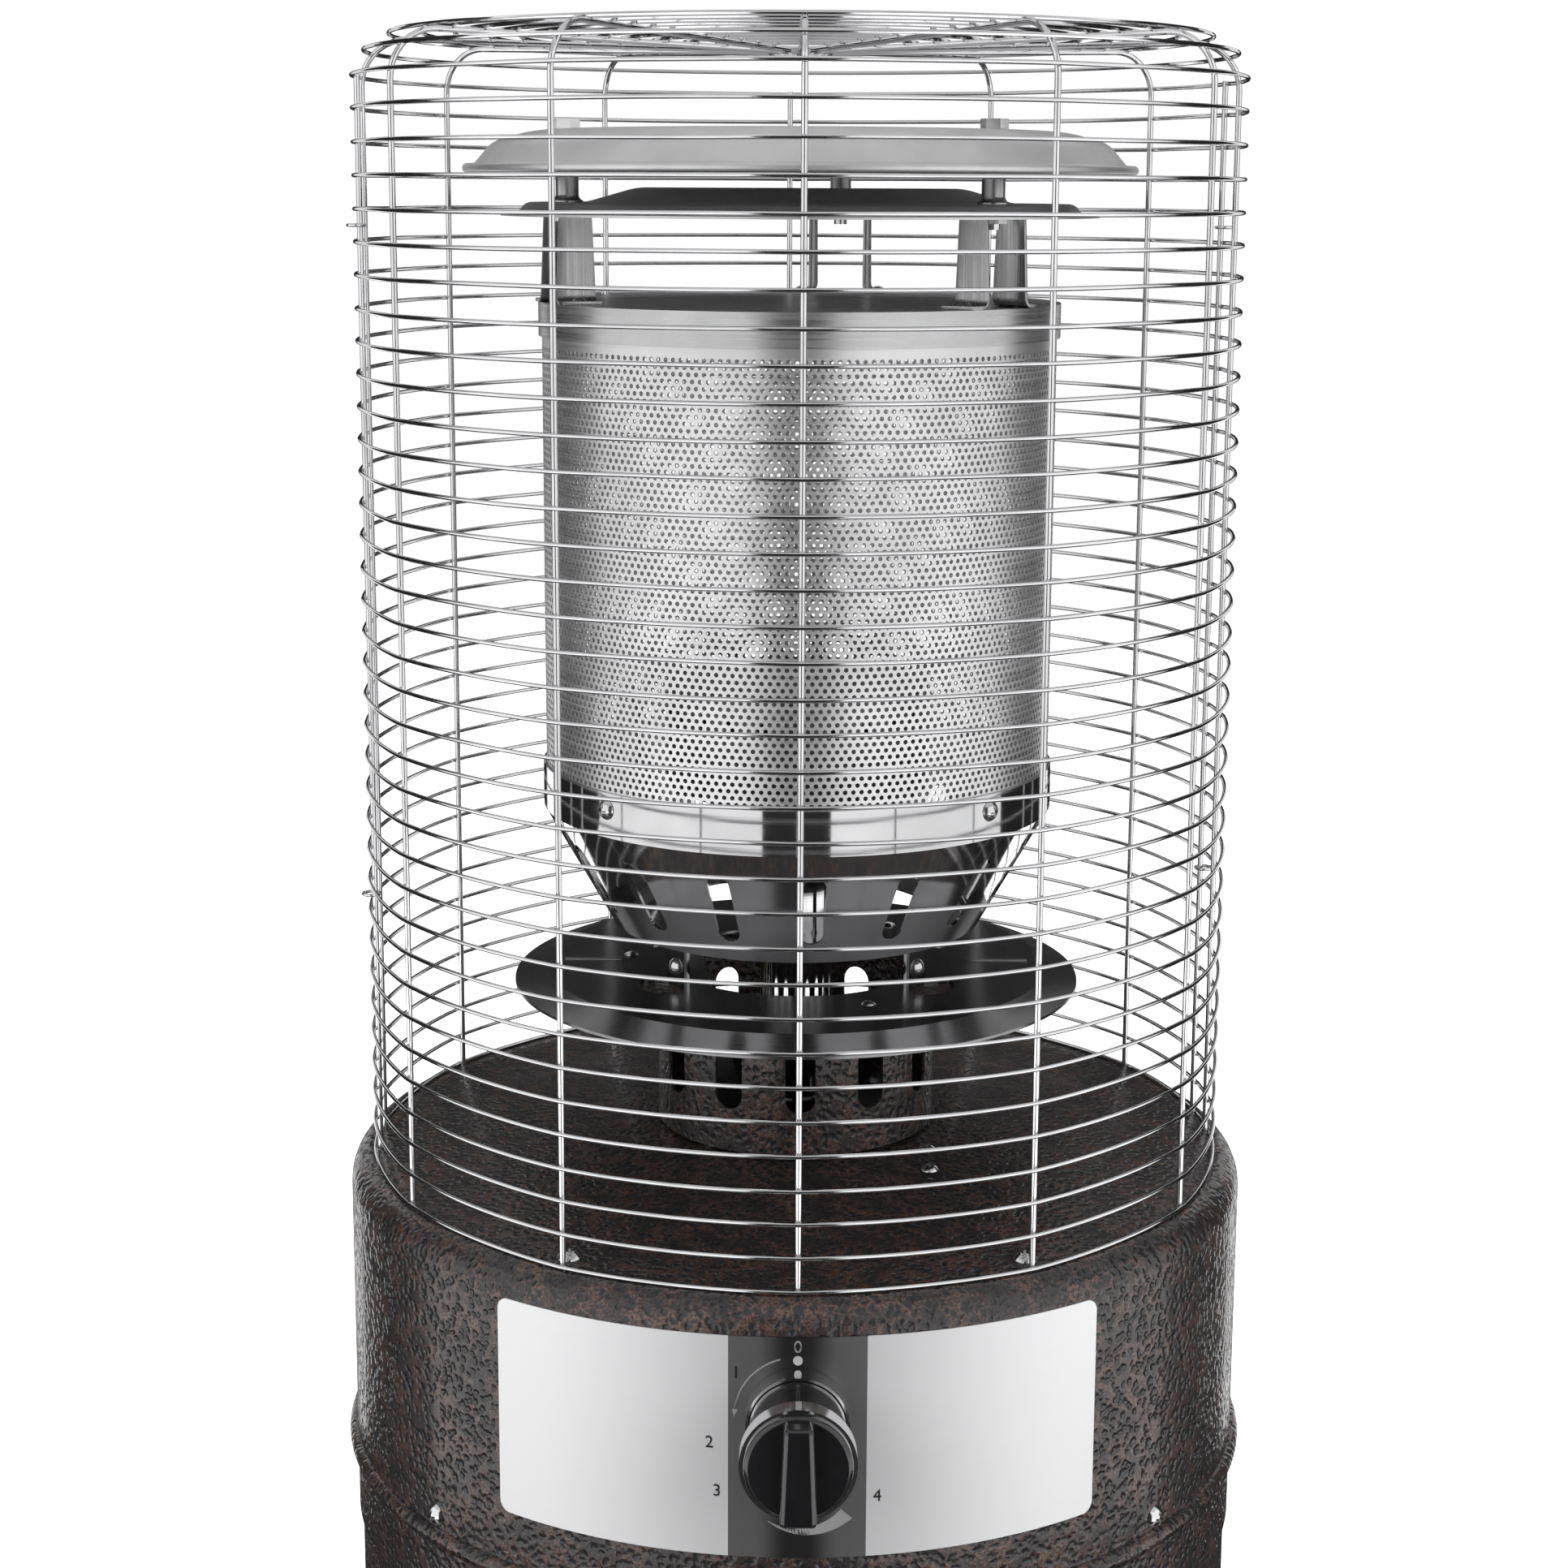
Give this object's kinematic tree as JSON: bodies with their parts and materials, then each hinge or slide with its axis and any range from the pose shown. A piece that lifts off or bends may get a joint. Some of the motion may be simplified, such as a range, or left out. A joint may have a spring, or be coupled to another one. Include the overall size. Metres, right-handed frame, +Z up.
{
  "type": "patio heater",
  "caption": "Gas patio heater: round bottle housing with a rear door, control knob on a curved plate, perforated burner column under stacked reflectors, all inside a wire guard.",
  "frame": {"origin": "on the ground, under the centre axis of the round housing", "axes": "+Z up along the housing axis; the control knob faces -Y; +X is on the right of someone who looks at the knob"},
  "size_m": [0.4359, 0.4727, 1.3769],
  "materials": {
    "hammer_paint": "hammered gloss",
    "rubber_feet": "matte",
    "zinc_screws": "satin",
    "grey_steel": "satin",
    "bright_screws": "polished",
    "black_plastic": "gloss",
    "dark_plastic": "matte",
    "chrome_trim": "polished",
    "label_metal": "satin",
    "valve_metal": "machined",
    "stem_steel": "satin",
    "pipe_metal": "satin",
    "ceramic": "glazed ceramic",
    "polished_steel": "mirror polished",
    "burner_steel": "satin",
    "dish_steel": "polished",
    "screen_steel": "bright",
    "brushed_straps": "brushed",
    "reflector_metal": "satin",
    "chrome_wire": "polished"
  },
  "bodies": {
    "heater": {"base_plate": "hammer_paint", "tank_housing": "hammer_paint", "upper_housing": "hammer_paint", "neck": "hammer_paint", "base_feet": "rubber_feet", "foot_screws": "zinc_screws", "post_screws": "zinc_screws", "valve_screws": "zinc_screws", "neck_screws": "zinc_screws", "support_posts": "grey_steel", "deck_plate": "grey_steel", "housing_struts": "grey_steel", "valve_bracket": "grey_steel", "burner_cross_plate": "grey_steel", "pilot_bracket": "grey_steel", "hinge_fixed_leaves": "grey_steel", "hinge_pins": "grey_steel", "housing_screws": "bright_screws", "tilt_switch_screws": "bright_screws", "tab_screws": "bright_screws", "bowl_screws": "bright_screws", "rivets": "bright_screws", "reflector_bolts": "bright_screws", "reflector_nuts": "bright_screws", "door_catch": "dark_plastic", "tilt_switch": "dark_plastic", "knob_bezel": "chrome_trim", "label_plate": "label_metal", "gas_valve": "valve_metal", "pilot_burner": "valve_metal", "gas_inlet": "valve_metal", "injector": "valve_metal", "return_spring": "stem_steel", "main_gas_pipe": "pipe_metal", "pilot_pipe": "pipe_metal", "thermocouple": "pipe_metal", "ignition_electrode": "ceramic", "mixing_tube": "polished_steel", "burner_bowl": "polished_steel", "emitter_lid": "polished_steel", "bowl_feet": "polished_steel", "burner_head": "burner_steel", "heat_shield_dish": "dish_steel", "emitter_screen": "screen_steel", "strap_brackets": "brushed_straps", "reflector_spacers": "brushed_straps", "reflector_lower": "reflector_metal", "reflector_upper": "reflector_metal", "guard_uprights": "chrome_wire", "guard_rings": "chrome_wire", "guard_top_rings": "chrome_wire", "guard_hub": "chrome_wire", "guard_ties": "chrome_wire"},
    "door": {"tank_door": "hammer_paint", "hinge_door_leaves": "grey_steel", "door_pull": "black_plastic"},
    "valve_pin": {"push_pin": "stem_steel"},
    "knob": {"knob": "black_plastic", "knob_ring": "chrome_trim", "valve_stem": "stem_steel"}
  },
  "joints": [
    {"name": "door_swing", "type": "hinge", "parent": "heater", "child": "door", "pos_m": [0.15443, 0.12959, 0.364], "axis": [0, 0, -1], "range_deg": [0, 110]},
    {"name": "knob_push", "type": "slide", "parent": "heater", "child": "valve_pin", "axis": [0, 1, 0], "range_m": [0, 0.004], "stiffness_N_per_m": 1000, "springref_m": -0.004, "deforming": ["return_spring"]},
    {"name": "knob_turn", "type": "hinge", "parent": "valve_pin", "child": "knob", "pos_m": [0, -0.2, 0.844], "axis": [0, -1, 0], "range_deg": [0, 235]}
  ]
}
